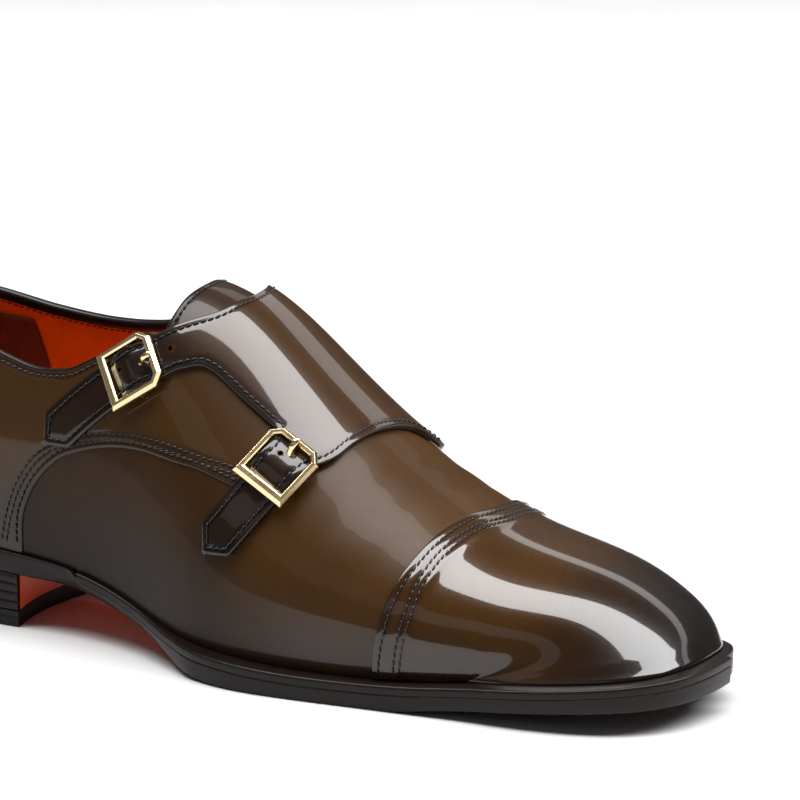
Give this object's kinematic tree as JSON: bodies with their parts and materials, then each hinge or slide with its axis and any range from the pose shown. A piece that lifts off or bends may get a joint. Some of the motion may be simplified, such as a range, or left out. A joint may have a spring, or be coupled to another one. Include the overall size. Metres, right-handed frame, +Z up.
{
  "type": "double monk strap shoe",
  "caption": "Leather dress shoe with a cap toe, an apron over the instep ending in buckled straps, a welted leather sole and a stacked heel.",
  "frame": {"origin": "on the floor, under the middle of the sole's bounding box", "axes": "+X to the toe, +Y to the inner (medial) side, +Z up"},
  "size_m": [0.2984, 0.1058, 0.1108],
  "materials": {
    "upper_leather": "polished olive-brown patina calf",
    "cap_leather": "high-shine burnished brown calf",
    "apron_leather": "high-shine brown patina calf",
    "tongue_leather": "satin brown calf",
    "insole_leather": "matte tan-orange lining leather",
    "sole_leather": "waxed near-black edge, red-brown tread",
    "heel_leather": "waxed stacked leather",
    "top_piece_rubber": "matte black-brown rubber",
    "buckle_brass": "polished pale gold"
  },
  "bodies": {
    "root": {"upper": "upper_leather", "toe_cap": "cap_leather", "strap_apron": "apron_leather", "tongue": "tongue_leather", "insole": "insole_leather", "welt": "sole_leather", "outsole": "sole_leather", "heel_stack": "heel_leather", "heel_top_piece": "top_piece_rubber", "buckle_frame_upper": "buckle_brass", "buckle_prong_upper": "buckle_brass", "buckle_frame_lower": "buckle_brass", "buckle_prong_lower": "buckle_brass"}
  },
  "joints": []
}
